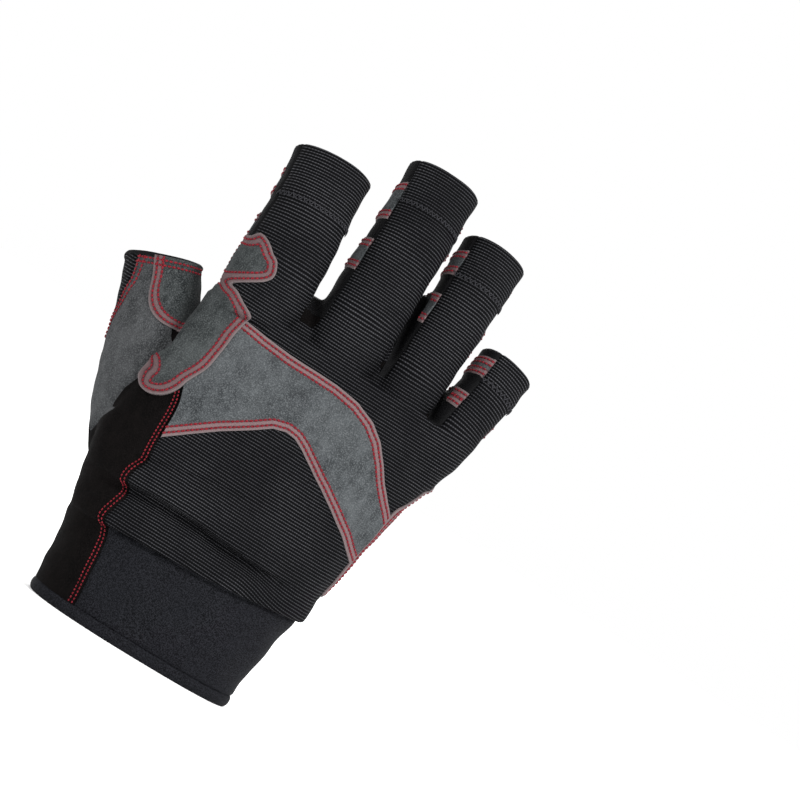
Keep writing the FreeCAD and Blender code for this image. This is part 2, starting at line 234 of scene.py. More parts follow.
class Sleeve:
    """A straight tube in its own axes: x across, y to the palm side, z to the open end."""

    def __init__(self, joint, end, along, nodes, near, far):
        self.hinge = np.array(JOINTS[joint]["pos_m"]) / MM
        across = -unit(JOINTS[joint]["axis"])
        for _ in range(4):
            along = unit(along - across * (along @ across))
            self.axes = np.array([across, np.cross(along, across), along])
            tall = ((end - self.hinge) @ self.axes.T)[2]
            low = ring_at(nodes, self.hinge, self.axes, near)
            high = ring_at(nodes, self.hinge, self.axes, tall - far)
            rise = tall - far - near
            along = unit(self.axes[2] * rise + self.axes[0] * (high[0] - low[0])
                         + self.axes[1] * (high[1] - low[1]))
        self.origin = self.hinge + self.axes[0] * low[0] + self.axes[1] * low[1]
        self.length = tall
        self.near, self.rise = near, rise
        self.sizes = np.array([low[2:], high[2:]])

    def local(self, points):
        return (points - self.origin) @ self.axes.T

    def size_at(self, z):
        t = (np.asarray(z, float) - self.near) / self.rise
        return self.sizes[0] + np.multiply.outer(np.clip(t, -0.5, 1.5), self.sizes[1] - self.sizes[0])

    def world(self, x, y, z):
        return self.origin + np.array([x, y, z]) @ self.axes

    def angle(self, points):
        """Degrees round the sleeve from its back, positive towards +x."""
        p = self.local(points)
        s = self.size_at(p[:, 2])
        return np.degrees(np.arctan2(p[:, 0] / s[:, 0], -p[:, 1] / s[:, 1]))

    def arc(self, points, degrees):
        """Distance along the sleeve's skin past an angle from the back, in mm."""
        size = self.size_at(self.local(points)[:, 2])
        turn = (self.angle(points) - degrees + 180) % 360 - 180
        return np.radians(turn) * size.mean(1)


def read_sleeves():
    """(base, tip) of every finger and (thumb,), measured on the CAD nodes."""
    sleeves = {}
    for name in FINGERS:
        opening = MOUNTS[name + "_opening"]
        end = np.array(opening["pos_m"]) / MM
        along = unit(opening["axis"])
        tip = Sleeve(name + "_middle_joint", end, along, [name + "_tip_back", name + "_tip_wrap"], 2.0, 1.5)
        base = Sleeve(name + "_knuckle", tip.origin, along, [name + "_base_back", name + "_base_wrap"],
                      2.0, 5.0)
        sleeves[name] = (base, tip)
    opening = MOUNTS["thumb_opening"]
    nodes = ["thumb_back", "thumb_outer_panel", "thumb_inner_patch", "thumb_palm"]
    end = np.array(opening["pos_m"]) / MM
    sleeves["thumb"] = (Sleeve("thumb_bend", end, unit(opening["axis"]), nodes, 2.5, 5.0),)
    return sleeves


SLEEVES = read_sleeves()


# ======== the hidden glove surface

def ring_points(a, b, power, count):
    t = np.linspace(0, 2 * math.pi, count, endpoint=False)
    c, s = np.cos(t), np.sin(t)
    return np.stack([a * np.sign(c) * abs(c) ** (2 / power), b * np.sign(s) * abs(s) ** (2 / power),
                     0 * t], 1)


def lofted(rings):
    """A closed mesh through rings of equal point counts: vertices and faces."""
    n = len(rings[0])
    verts = np.vstack(rings + [rings[0].mean(0), rings[-1].mean(0)])
    faces = []
    for i in range(len(rings) - 1):
        for j in range(n):
            k = (j + 1) % n
            faces.append((i * n + j, i * n + k, (i + 1) * n + k, (i + 1) * n + j))
    first, last = len(verts) - 2, len(verts) - 1
    top = (len(rings) - 1) * n
    for j in range(n):
        k = (j + 1) % n
        faces.append((first, k, j))
        faces.append((last, top + j, top + k))
    return verts, faces


def joined(parts):
    """Several (points, faces) as one."""
    faces, base = [], 0
    for points, part_faces in parts:
        faces += [tuple(i + base for i in face) for face in part_faces]
        base += len(points)
    return np.vstack([points for points, _ in parts]), faces


def hand_loft():
    rows = HAND_SECTIONS
    rings = []
    for z in np.linspace(rows[0, 0], rows[-1, 0], HAND_RINGS):
        cx, cy, a, b = [np.interp(z, rows[:, 0], rows[:, i]) for i in (1, 2, 3, 4)]
        rings.append(ring_points(a, b, HAND_POWER, HAND_SIDES) + [cx, cy, z])
    return lofted(rings)


def sleeve_ring(sleeve, z, grow):
    a, b = sleeve.size_at(z) + grow
    ring = ring_points(a, b, SLEEVE_POWER, SLEEVE_SIDES)
    return np.array([sleeve.world(x, y, z) for x, y, _ in ring])


def finger_loft(name):
    """A tube from inside the hand, round the middle bend and past the opening."""
    base, tip = SLEEVES[name]
    stations = [(base, -16, -1.5), (base, -6, 0), (base, 3, 0.2), (base, base.length * 0.5, 0.1),
                (base, base.length - 5, 0), (tip, 4, 0), (tip, tip.length * 0.6, -0.1),
                (tip, tip.length - 3, 0.2), (tip, tip.length + 7, 0.6)]
    return lofted([sleeve_ring(*station) for station in stations])


def thumb_loft():
    thumb = SLEEVES["thumb"][0]
    rings = []
    for centre, a, b in THUMB_ROOT:
        ring = ring_points(a, b, SLEEVE_POWER, SLEEVE_SIDES)
        rings.append(np.array([np.array(centre) + r @ thumb.axes for r in ring]))
    for z, grow in ((2, 0), (10, 0), (thumb.length - 3, 0.1), (thumb.length + 7, 0.5)):
        rings.append(sleeve_ring(thumb, z, grow))
    return lofted(rings)


def web_loft(spots, sides):
    """Cloth between two neighbours, as a tapering upright blob."""
    return lofted([ring_points(a, b, 2, sides) + np.array(c) for c, a, b in spots])


def remeshed(verts, faces):
    """The outer surface of overlapping closed shapes, as one evaluated mesh."""
    mesh = bpy.data.meshes.new("guide")
    mesh.from_pydata((verts * MM).tolist(), [], faces)
    obj = placed("guide", mesh)
    remesh = obj.modifiers.new("remesh", "REMESH")
    remesh.mode = "VOXEL"
    remesh.voxel_size = VOXEL * MM
    bpy.context.view_layer.update()
    done = bpy.data.meshes.new_from_object(obj.evaluated_get(bpy.context.evaluated_depsgraph_get()))
    bpy.data.objects.remove(obj)
    return done


def guide_mesh():
    """One watertight surface round hand, fingers and thumb: points and triangles."""
    lofts = [hand_loft(), thumb_loft(), web_loft(THUMB_WEB, SLEEVE_SIDES)]
    lofts += [finger_loft(name) for name in FINGERS]
    lofts += [web_loft(spots, WEB_SIDES) for spots in WEBS]
    done = remeshed(*joined(lofts))
    points = rows_of(done.vertices, "co", 3) / MM
    edges = rows_of(done.edges, "vertices", 2, int)
    done.calc_loop_triangles()
    tris = rows_of(done.loop_triangles, "vertices", 3, int)
    bpy.data.meshes.remove(done)
    return relax(points, edges, SMOOTH_PASSES), tris


def relax(points, edges, passes):
    """Moves every point towards its neighbours' mean, then part of the way back."""
    n = len(points)
    count = np.bincount(edges.ravel(), minlength=n)[:, None]
    for i in range(passes * 2):
        total = np.stack([np.bincount(edges[:, 0], points[edges[:, 1], k], n)
                          + np.bincount(edges[:, 1], points[edges[:, 0], k], n) for k in range(3)], 1)
        share = SHRINK if i % 2 == 0 else REGROW
        points = points + share * (total / count - points)
    return points


def normals_of(points, tris):
    face = np.cross(points[tris[:, 1]] - points[tris[:, 0]], points[tris[:, 2]] - points[tris[:, 0]])
    total = np.stack([sum(np.bincount(tris[:, k], face[:, i], len(points)) for k in range(3))
                      for i in range(3)], 1)
    return unit_rows(total)


# ======== cutting pieces from the surface

def connected(count, tris):
    """A number for each point, the same for all points joined by triangles."""
    label = np.arange(count)
    a, b = np.vstack([tris[:, [0, 1]], tris[:, [1, 2]]]).T
    while (label[a] != label[b]).any():
        low = np.minimum(label[a], label[b])
        for ends in (label[a], label[b]):
            np.minimum.at(label, ends, low)
        label = label[label]
    return label


def without_islands(field, region, tris):
    """The field, turned negative on its small separate patches inside a region."""
    inside = (field > 0) & (region > 0)
    label = connected(len(field), tris[inside[tris].all(1)])
    size = np.bincount(label[inside], minlength=len(field))
    small = inside & (size[label] < LEAST_PART * size.max())
    return np.where(small, -0.01 - abs(field), field)


def edge_codes(pairs, base):
    """One number for each edge, the same in both directions; base is past the last point."""
    return pairs.min(-1) * base + pairs.max(-1)


class Skin:
    """Triangles with, at each point, a place, a normal and some named values."""

    def __init__(self, points, normals, tris, values):
        self.p, self.n, self.t = points, normals, tris
        self.values = values
        self.base = len(points) + 1

    def raised(self, height):
        """A copy, moved out along the normals."""
        return Skin(self.p + self.n * np.reshape(height, (-1, 1)), self.n, self.t, dict(self.values))

    def clip(self, field):
        """The part of the skin where field (one value for each point) is positive."""
        inside = field[self.t] >= 0
        count = inside.sum(1)
        cut = []                      # (triangles with their odd corner first, whether it is outside)
        for odd in range(3):
            turned = np.roll(self.t, -odd, 1)
            cut.append((turned[(count == 1) & inside[:, odd]], False))
            cut.append((turned[(count == 2) & ~inside[:, odd]], True))
        rows = np.vstack([part for part, _ in cut])
        pairs = np.vstack([rows[:, [0, 1]], rows[:, [0, 2]]])
        edges, index = np.unique(edge_codes(pairs, self.base), return_inverse=True)
        index = index.ravel() + len(self.p)
        made = [self.t[count == 3]]
        start = 0
        for part, odd_outside in cut:
            left = index[start:start + len(part)]
            right = index[len(rows) + start:len(rows) + start + len(part)]
            start += len(part)
            if odd_outside:
                made.append(np.stack([left, part[:, 1], part[:, 2]], 1))
                made.append(np.stack([left, part[:, 2], right], 1))
            else:
                made.append(np.stack([part[:, 0], left, right], 1))
        return self.rebuilt(field, edges, np.vstack(made))

    def rebuilt(self, field, edges, tris):
        """The skin of some triangles whose last points lie where field is zero on the coded edges."""
        keys = list(self.values)
        data = np.hstack([self.p, self.n] + [self.values[k][:, None] for k in keys])
        lo, hi = edges // self.base, edges % self.base
        change = field[lo] - field[hi]
        t = np.clip(field[lo] / np.where(change == 0, 1, change), 0.02, 0.98)[:, None]
        data = np.vstack([data, data[lo] * (1 - t) + data[hi] * t])
        used, tris = np.unique(tris, return_inverse=True)
        data = data[used]
        values = {k: data[:, 6 + i] for i, k in enumerate(keys)}
        return Skin(data[:, :3], unit_rows(data[:, 3:6]), tris.reshape(-1, 3), values)

    def within(self, *names):
        """The part where every named value is positive; 'edge' stays as it is."""
        skin = self
        for name in names:
            skin = skin.clip(skin.values[name])
        return skin

    def where(self, *names):
        """The part where every named value is positive, with the least of them kept as 'edge'."""
        skin = Skin(self.p, self.n, self.t, dict(self.values))
        skin.values["edge"] = np.min([skin.values[n] for n in names], 0)
        return skin.within(*names)

    def main_parts(self, least=LEAST_PART):
        """Without the loose scraps that cutting leaves."""
        label = connected(len(self.p), self.t)
        size = np.bincount(label[self.t[:, 0]], minlength=1)
        keep = size[label[self.t[:, 0]]] > least * size.max()
        used, tris = np.unique(self.t[keep], return_inverse=True)
        values = {k: v[used] for k, v in self.values.items()}
        return Skin(self.p[used], self.n[used], tris.reshape(-1, 3), values)

    def border(self):
        """Directed border edges."""
        e = np.vstack([self.t[:, [0, 1]], self.t[:, [1, 2]], self.t[:, [2, 0]]])
        _, index, count = np.unique(edge_codes(e, self.base), return_index=True, return_counts=True)
        return e[index[count == 1]]


def crossed_edges(skin, field):
    """The codes of both edges of each triangle that the field's zero line runs through."""
    pairs = np.stack([skin.t, np.roll(skin.t, -1, 1)], 2)
    positive = field[pairs] >= 0
    crossed = positive[:, :, 0] != positive[:, :, 1]
    return edge_codes(pairs, skin.base)[crossed].reshape(-1, 2).tolist()


def chains(links):
    """Runs of linked codes, each in order; a closed one ends on its first code."""
    seen, found = set(), []
    for start in [k for k, v in links.items() if len(v) == 1] + list(links):
        if start in seen:
            continue
        chain = [start]
        seen.add(start)
        while True:
            ahead = [k for k in links[chain[-1]] if k not in seen]
            if not ahead:
                break
            chain.append(ahead[0])
            seen.add(ahead[0])
        if len(chain) > 3:
            found.append(chain + [start] if start in links[chain[-1]] else chain)
    return found


def contour(skin, field):
    """Lines where a field is zero, each as points and normals in order."""
    links = {}
    for a, b in crossed_edges(skin, field):
        links.setdefault(a, []).append(b)
        links.setdefault(b, []).append(a)
    lines = []
    for chain in chains(links):
        lo, hi = np.divmod(np.array(chain), skin.base)
        w = (field[lo] / (field[lo] - field[hi]))[:, None]
        lines.append((skin.p[lo] * (1 - w) + skin.p[hi] * w, skin.n[lo] * (1 - w) + skin.n[hi] * w))
    return lines


def rows_at(lengths, run, rows):
    """Rows given along a run of lengths, read at other lengths."""
    return np.stack([np.interp(lengths, run, rows[:, k]) for k in range(3)], 1)


def spaced(line, pitch):
    """Points along a line every pitch, with directions and normals."""
    points, normals = line
    points = smoothed(points, 4)
    step = np.linalg.norm(np.diff(points, axis=0), axis=1)
    run = np.concatenate([[0], np.cumsum(step)])
    if run[-1] < pitch * 1.5:
        return None
    at = np.arange(pitch / 2, run[-1], pitch)
    d = unit_rows(rows_at(at + 0.2, run, points) - rows_at(at - 0.2, run, points))
    m = rows_at(at, run, normals)
    m -= d * (m * d).sum(1)[:, None]
    return rows_at(at, run, points), d, unit_rows(m)


# ======== values on the surface

def polygon_distance(x, z, outline):
    """Distance inside a closed outline, negative outside."""
    a = np.array(outline, float)
    b = np.roll(a, -1, 0)
    best = np.full(len(x), 1e9)
    inside = np.zeros(len(x), bool)
    for (ax, az), (bx, bz) in zip(a, b):
        dx, dz = bx - ax, bz - az
        t = np.clip(((x - ax) * dx + (z - az) * dz) / (dx * dx + dz * dz), 0, 1)
        best = np.minimum(best, np.hypot(x - ax - t * dx, z - az - t * dz))
        crosses = (az > z) != (bz > z)
        with np.errstate(divide="ignore", invalid="ignore"):
            inside ^= crosses & (x < (bx - ax) * (z - az) / (bz - az) + ax)
    return np.where(inside, best, -best)


def rounded(points, each=5):
    """A closed smooth outline through a few points (Catmull-Rom)."""
    p = np.array(points, float)
    a, b, c, d = np.roll(p, 1, 0), p, np.roll(p, -1, 0), np.roll(p, -2, 0)
    out = []
    for i in range(len(p)):
        for k in range(each):
            t = k / each
            out.append(0.5 * (2 * b[i] + (c[i] - a[i]) * t + (2 * a[i] - 5 * b[i] + 4 * c[i] - d[i]) * t ** 2
                              + (3 * b[i] - a[i] - 3 * c[i] + d[i]) * t ** 3))
    return np.array(out)


def straight_line(line, at):
    return np.interp(at, *np.array(line).T)


def along_line(line, at):
    """A bent line's value, with its corners rounded off."""
    a, b = np.array(line, float).T
    fine = np.arange(a[0], a[-1] + 0.25, 0.5)
    return np.interp(at, fine, smoothed(np.interp(fine, a, b), 5))


def cuff_height(x, z):
    return z - CUFF_LINE[0] - CUFF_LINE[1] * x


def finger_wall(points, left, right):
    """Positive nearer the right finger of two neighbours."""
    gaps = []
    for name in (left, right):
        base = SLEEVES[name][0]
        p = base.local(points)
        gaps.append(abs(p[:, 0]) - base.size_at(p[:, 2])[:, 0])
    return (gaps[0] - gaps[1]) / 2


def finger_region(points, name):
    """Positive on one finger: past its tear line and between the walls to its neighbours."""
    place = FINGERS.index(name)
    field = SLEEVES[name][0].local(points)[:, 2] + TEAR_MARGIN
    if name != FINGERS[0]:
        field = np.minimum(field, finger_wall(points, FINGERS[place - 1], name))
    if name != FINGERS[-1]:
        field = np.minimum(field, -finger_wall(points, name, FINGERS[place + 1]))
    if name == "index":
        field = np.minimum(field, points[:, 0] + 43)
    return field


def add_finger_values(v, points, name):
    base, tip = SLEEVES[name]
    on_base, on_tip = base.local(points)[:, 2], tip.local(points)[:, 2]
    v[name] = finger_region(points, name)
    v[name + "_split"] = on_base - (base.length - 4)
    v[name + "_end"] = tip.length - on_tip - 0.8
    past = smoothstep((on_base + 1) / 10) * smoothstep((v[name] + 1.5) / 1.5)
    turned = smoothstep((on_base - base.length + 12) / 22)
    along = on_base * (1 - turned) + (base.length + on_tip) * turned
    v["rib"] = v["rib"] * (1 - past) + past * (base.origin[2] + along)
    low, high = BACK_SECTOR[name]
    sides = [np.where(on_tip > 0, tip.arc(points, turn), base.arc(points, turn)) for turn in (low, high)]
    v[name + "_back"] = np.minimum(sides[0], -sides[1])
    (base_low, base_high), (tip_low, tip_high) = PATCH_SPANS[name]
    v[name + "_base_patch"] = np.minimum(on_base - base.length - base_low, base_high + base.length - on_base)
    v[name + "_tip_patch"] = np.minimum(on_tip - tip_low, tip_high - on_tip)


def add_thumb_values(v, points):
    thumb = SLEEVES["thumb"][0]
    p = thumb.local(points)
    size = thumb.size_at(p[:, 2])
    reach = np.hypot(p[:, 0] / size[:, 0], p[:, 1] / size[:, 1])
    v["thumb"] = np.minimum(p[:, 2] + 6, (1.4 - reach) * 12)
    v["not_thumb"] = -v["thumb"]
    turn = thumb.angle(points)
    rise = 1.2 + 1.7 * np.cos(np.radians(turn - 5)) - 2.0 * np.exp(-((turn + 80) / 28) ** 2)
    v["thumb_end"] = thumb.length + rise - p[:, 2]
    from_seam = thumb.arc(points, straight_line(THUMB_SEAM, p[:, 2]))
    strip = np.minimum(thumb.arc(points, -84), -from_seam)
    v["thumb_rib"] = np.minimum(np.minimum(strip, (1.35 - reach) * 12), p[:, 2] + 5)
    v["thumb_seam"] = from_seam
    across = thumb.arc(points, 24)
    v["thumb_inner"] = soft_min(soft_min(across, p[:, 2] * 0.9 + 0.42 * across - 4.0, 9), 60 - across, 0.5)
    v["thumb_front"] = np.minimum(from_seam, -thumb.arc(points, 108))
    v["thumb_outer"] = np.minimum(from_seam, 8.5 - across)
    for name in ("thumb_rib", "thumb_inner", "thumb_outer"):
        v["not_" + name] = -v[name]


def add_panel_values(v, x, y, z):
    """The hand's panels: back, side, thenar, palm and cuff."""
    seam = along_line(RED_SEAM, z)
    v["right_of_seam"] = x - seam
    v["left_of_seam"] = seam - x
    limit = -4.5 + 7.5 * smoothstep((x - 46) / 5)
    v["dorsal"] = np.where((x < -30) & (z > 78), 6, limit) - y
    v["above_cuff"] = cuff_height(x, z)
    v["below_cuff"] = -v["above_cuff"]
    v["radial"] = 9.5 + 10.5 * smoothstep((z - 46) / 14) - y
    v["not_side"] = -np.minimum(v["left_of_seam"], v["radial"])
    v["not_back"] = -np.minimum(v["dorsal"], v["right_of_seam"])
    v["thenar"] = soft_min(straight_line(THENAR_EDGE, z) - x, z - 61.6 + 0.8 * y, 4)
    v["hem_top"] = HEM_HEIGHT - z
    v["above_hem"] = z - HEM_HEIGHT


def add_patch_values(v, x, y, z):
    """The suede sewn on the hand's panels."""
    v["arch"] = np.minimum(polygon_distance(x, z, ARCH), 4.0 - 2 * y)
    v["arch_side"] = np.where(x > 30, -6.9 - y, v["right_of_seam"] - 0.4)
    v["web"] = np.minimum(polygon_distance(x, z, rounded(WEB, 3)), 6.5 - y)
    v["not_web"] = -v["web"]
    v["web_left"] = x - straight_line(WEB_LEFT, z)
    v["palm_grip"] = np.minimum(polygon_distance(x, z, rounded(PALM_GRIP)), y * PALM_RISE)
    v["heel_grip"] = np.minimum(polygon_distance(x, z, rounded(HEEL_GRIP)), y * PALM_RISE)
    v["edge_grip"] = np.minimum(polygon_distance(y, z, rounded(EDGE_GRIP)), x - 30)


def surface_values(points, tris):
    """Every field that cuts or colours the pieces, one value for each point."""
    x, y, z = points.T
    v = {"rib": cloth_height(x, z), "wale": x.copy(), "z": z, "foot": z}
    for name in FINGERS:
        add_finger_values(v, points, name)
    v["hand"] = -np.max([v[name] for name in FINGERS], 0)
    add_thumb_values(v, points)
    add_panel_values(v, x, y, z)
    add_patch_values(v, x, y, z)
    side = np.minimum.reduce([v["left_of_seam"], v["radial"], v["hand"], v["not_thumb"]])
    v["thenar"] = without_islands(v["thenar"], side, tris)
    v["not_thenar"] = -v["thenar"]
    return v


# ======== folds and wrinkles

def pleat(s, height, amount):
    """A sagging fold of cloth: a round lower edge at s = 0 and a long slope above it."""
    rise = np.clip(s / 2.4, 0, 1)
    fall = 1 - smoothstep(s / height)
    return amount * np.sqrt(np.clip(1 - (1 - rise) ** 2, 0, 1)) * fall ** 0.8


def bump(s, width):
    return np.exp(-(s / width) ** 2)


def fold_shape(x, z):
    """How far the folded back cloth stands out and hangs down."""
    front = smoothstep((x + 43) / 12)
    first = cuff_height(x, z) + 0.4 * np.sin(x * 0.11 + 1)
    second = z - along_line(SECOND_FOLD, x)
    third = z - along_line(THIRD_FOLD, x)
    size_1 = 2.7 * (0.2 + 0.8 * front) * (1 - 0.35 * smoothstep((x - 30) / 16))
    size_2 = 3.2 * (0.16 + 0.84 * front) * (1 - 0.9 * smoothstep((x - 12) / 26))
    size_3 = 1.3 * front * (1 - smoothstep((x + 12) / 26))
    lift = pleat(first, 13, size_1) + pleat(second, 17, size_2) + pleat(third, 14, size_3)
    lift -= 1.7 * front * bump(second + 2.0, 1.9) * (1 - smoothstep((x - 12) / 24))
    drop = 1.5 * bump(first - 2.2, 2.5) * size_1 / 2.7
    drop += 1.3 * bump(second - 2.2, 2.5) * size_2 / 2.9
    drop += 0.5 * bump(third - 2.2, 2.5) * size_3 / 1.3
    return lift, drop * smoothstep((z - 26) / 5)


def cloth_height(x, z):
    """Height measured along the folded cloth, so that the ribs keep their spacing."""
    xs, zs = np.linspace(-64, 72, 86), np.arange(-10, 110, 0.2)
    lift, drop = fold_shape(*np.meshgrid(xs, zs))
    level = zs[:, None] - drop
    run = np.hypot(np.diff(level, axis=0), np.diff(lift, axis=0)).cumsum(0)
    run = np.vstack([0 * xs, run])
    run += 100 - run[np.searchsorted(zs, 100)]
    i = np.clip((x - xs[0]) / (xs[1] - xs[0]), 0, len(xs) - 1.001)
    j = np.clip((z - zs[0]) / (zs[1] - zs[0]), 0, len(zs) - 1.001)
    a, b = i.astype(int), j.astype(int)
    u, w = i - a, j - b
    low = run[b, a] * (1 - u) + run[b, a + 1] * u
    high = run[b + 1, a] * (1 - u) + run[b + 1, a + 1] * u
    return np.where(z > 100, z, low * (1 - w) + high * w)


def folded(points, normals):
    """The surface with the sagging folds above the cuff and small wrinkles in the cloth."""
    x, y, z = points.T
    back = smoothstep((5 - y) / 9)
    lift, drop = fold_shape(x, z)
    cuff = smoothstep(-cuff_height(x, z) / 3)
    ripple = 0.28 * np.sin(z * 0.33 + 0.13 * x) * np.sin(x * 0.12 + y * 0.15 + 2) * cuff * smoothstep(z / 10)
    wave = 0.26 * np.sin(0.21 * x + 0.17 * z) * np.sin(0.13 * z - 0.19 * y + 1)
    wave += 0.16 * np.sin(0.47 * x - 0.31 * z + 2) * np.sin(0.29 * y + 0.41 * z)
    wave *= smoothstep((z - 4) / 6)
    palm = smoothstep((y - 2) / 8) * smoothstep((z - 34) / 10)
    crease = -0.9 * palm * bump(z - 78 + 0.25 * x, 2.2) * smoothstep((x + 20) / 10)
    crease -= 0.7 * palm * bump(z - 92 + 0.1 * x, 2.0) * smoothstep(x / 10)
    moved = points + normals * (lift * back + ripple + wave + crease)[:, None]
    moved[:, 2] -= drop * back
    return moved


# ======== turning skins into pieces

def new_object(name, verts, faces, material, sharp=50):
    mesh = bpy.data.meshes.new(name)
    mesh.from_pydata((verts * MM).tolist(), [], faces)
    mesh.materials.append(material)
    mesh.shade_smooth()
    mesh.set_sharp_from_angle(angle=math.radians(sharp))
    return placed(name, mesh)


def add_value(obj, key, values):
    """A value for each point, the same on both sides of a sheet."""
    layer = obj.data.attributes.new(key, "FLOAT", "POINT")
    layer.data.foreach_set("value", np.concatenate([values, values]).astype(np.float32))


def settle(obj, how, replaces=()):
    """Bodies and CAD nodes: the piece is attached to how when it is a body, and a (body, body, start, end) how
    only bakes the piece in place. The CAD nodes it replaces are hidden.
    """
    if isinstance(how, str):
        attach(obj, how)
    else:
        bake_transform(obj)
    if replaces:
        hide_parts(*replaces)


def piece(name, skin, outer, inner, fabric, how, replaces=()):
    """A closed sheet of cloth: the skin raised by outer, backed by the skin sunk by inner."""
    top = skin.p + skin.n * np.reshape(outer, (-1, 1))
    low = skin.p - skin.n * np.reshape(inner, (-1, 1))
    n = len(top)
    rim = skin.border()
    side = np.stack([rim[:, 1], rim[:, 0], rim[:, 0] + n, rim[:, 1] + n], 1)
    faces = skin.t.tolist() + (skin.t[:, ::-1] + n).tolist() + side.tolist()
    material, slot = fabric
    obj = new_object(name, np.vstack([top, low]), faces, material)
    for key in ("rib", "wale", "edge"):
        add_value(obj, key, skin.values[key])
    settle(obj, how, replaces)


def fading(distance, width):
    """1 at an edge, falling to 0 over a width."""
    return np.clip(1 - distance / width, 0, 1) ** 2


def seam_dip(skin):
    """How far a panel sinks where it is sewn to the next one."""
    t = np.clip(1 - skin.values["edge"] / SEAM_WIDTH, 0, 1)
    return -SEAM_DEPTH * t * t


def stitch_faces():
    """The faces of one thread: a point, four rings and a point."""
    faces = []
    last = 4 * STITCH_SIDES + 1
    for j in range(STITCH_SIDES):
        k = (j + 1) % STITCH_SIDES
        faces.append((0, 1 + k, 1 + j))
        faces.append((last, last - STITCH_SIDES + j, last - STITCH_SIDES + k))
        for a in range(1, 1 + 3 * STITCH_SIDES, STITCH_SIDES):
            faces.append((a + j, a + k, a + STITCH_SIDES + k, a + STITCH_SIDES + j))
    return faces


def stitch_shape(points, directions, normals, length, radius):
    """A short round-ended thread at each point, all in one list of points and faces."""
    across = np.cross(directions, normals)
    angles = np.linspace(0, 2 * math.pi, STITCH_SIDES, endpoint=False)
    spokes = [across * math.cos(a) + normals * math.sin(a) * 0.85 for a in angles]
    block = []
    for along, size in STITCH_RINGS:
        centre = points + directions * (along * length) - normals * (radius * 3.6 * abs(along) ** 3)
        if size == 0:
            block.append(centre[:, None, :])
            continue
        block.append(np.stack([centre + spoke * (radius * size) for spoke in spokes], 1))
    verts = np.concatenate(block, 1)
    per = verts.shape[1]
    local = stitch_faces()
    faces = [tuple(i * per + q for q in face) for i in range(len(points)) for face in local]
    return verts.reshape(-1, 3), faces


def stitches(name, lines, thread, how, pitch=STITCH_PITCH, radius=STITCH_RADIUS, share=0.86, lean=0.0):
    """Rows of thread along lines on a skin; lean turns it into a zigzag."""
    parts = []
    for line in lines:
        found = spaced(line, pitch)
        if found is None:
            continue
        q, d, m = found
        if lean:
            swing = np.where(np.arange(len(q)) % 2, lean, -lean)[:, None]
            d = unit_rows(d + np.cross(m, d) * swing)
        parts.append(stitch_shape(q + m * 0.1, d, m, pitch * share, radius))
    if parts:
        material, slot = thread
        verts, faces = joined(parts)
        settle(new_object(name, verts, faces, material, sharp=180), how)


def rows_on(skin, field, levels):
    lines = []
    for level in levels:
        lines += contour(skin, skin.values[field] - level)
    return lines


# ======== materials

class Nodes:
    """Short names for building a material's node tree."""

    def __init__(self, name, base, roughness, sheen=0.0, sheen_roughness=0.5):
        self.material = bpy.data.materials.new(name)
        self.material.use_nodes = True
        self.tree = self.material.node_tree
        self.inputs = self.tree.nodes["Principled BSDF"].inputs
        self.inputs["Base Color"].default_value = (*base, 1)
        self.inputs["Roughness"].default_value = roughness
        self.inputs["Specular IOR Level"].default_value = 0.05
        self.inputs["Sheen Weight"].default_value = sheen
        self.inputs["Sheen Roughness"].default_value = sheen_roughness
        self.inputs["Sheen Tint"].default_value = (1, 1, 1, 1)
        self.place = self.add("ShaderNodeTexCoord").outputs["Object"]

    def add(self, kind, **settings):
        node = self.tree.nodes.new(kind)
        for key, value in settings.items():
            setattr(node, key, value)
        return node

    def plug(self, socket, value):
        if isinstance(value, (int, float)):
            socket.default_value = value
        elif isinstance(value, tuple):
            socket.default_value = (*value, 1)
        else:
            self.tree.links.new(value, socket)

    def math(self, operation, a, b=0.0):
        node = self.add("ShaderNodeMath", operation=operation)
        self.plug(node.inputs[0], a)
        self.plug(node.inputs[1], b)
        return node.outputs[0]

    def times(self, a, b):
        return self.math("MULTIPLY", a, b)

    def plus(self, a, b):
        return self.math("ADD", a, b)

    def value(self, name):
        return self.add("ShaderNodeAttribute", attribute_name=name).outputs["Fac"]

    def noise(self, size_mm, detail=3.0, stretch=(1, 1, 1)):
        mapping = self.add("ShaderNodeMapping")
        self.plug(mapping.inputs["Vector"], self.place)
        mapping.inputs["Scale"].default_value = stretch
        node = self.add("ShaderNodeTexNoise")
        self.plug(node.inputs["Vector"], mapping.outputs[0])
        node.inputs["Scale"].default_value = 1000.0 / size_mm
        node.inputs["Detail"].default_value = detail
        return node.outputs["Fac"]

    def ramp(self, value, low, high):
        node = self.add("ShaderNodeMapRange", interpolation_type="SMOOTHSTEP")
        self.plug(node.inputs["Value"], value)
        node.inputs["From Min"].default_value = low
        node.inputs["From Max"].default_value = high
        return node.outputs["Result"]

    def mix(self, factor, a, b):
        node = self.add("ShaderNodeMix", data_type="RGBA")
        self.plug(node.inputs["Factor"], factor)
        self.plug(node.inputs["A"], a)
        self.plug(node.inputs["B"], b)
        return node.outputs["Result"]

    def wave(self, value, pitch):
        """0 to 1 and back over each pitch."""
        turned = self.times(value, 2 * math.pi / pitch)
        return self.plus(self.times(self.math("SINE", turned), 0.5), 0.5)

    def finish(self, colour, height, depth_mm):
        self.plug(self.inputs["Base Color"], colour)
        relief = self.add("ShaderNodeBump")
        relief.inputs["Strength"].default_value = 1.0
        relief.inputs["Distance"].default_value = depth_mm * MM
        self.plug(relief.inputs["Height"], height)
        self.plug(self.inputs["Normal"], relief.outputs[0])
        return self.material


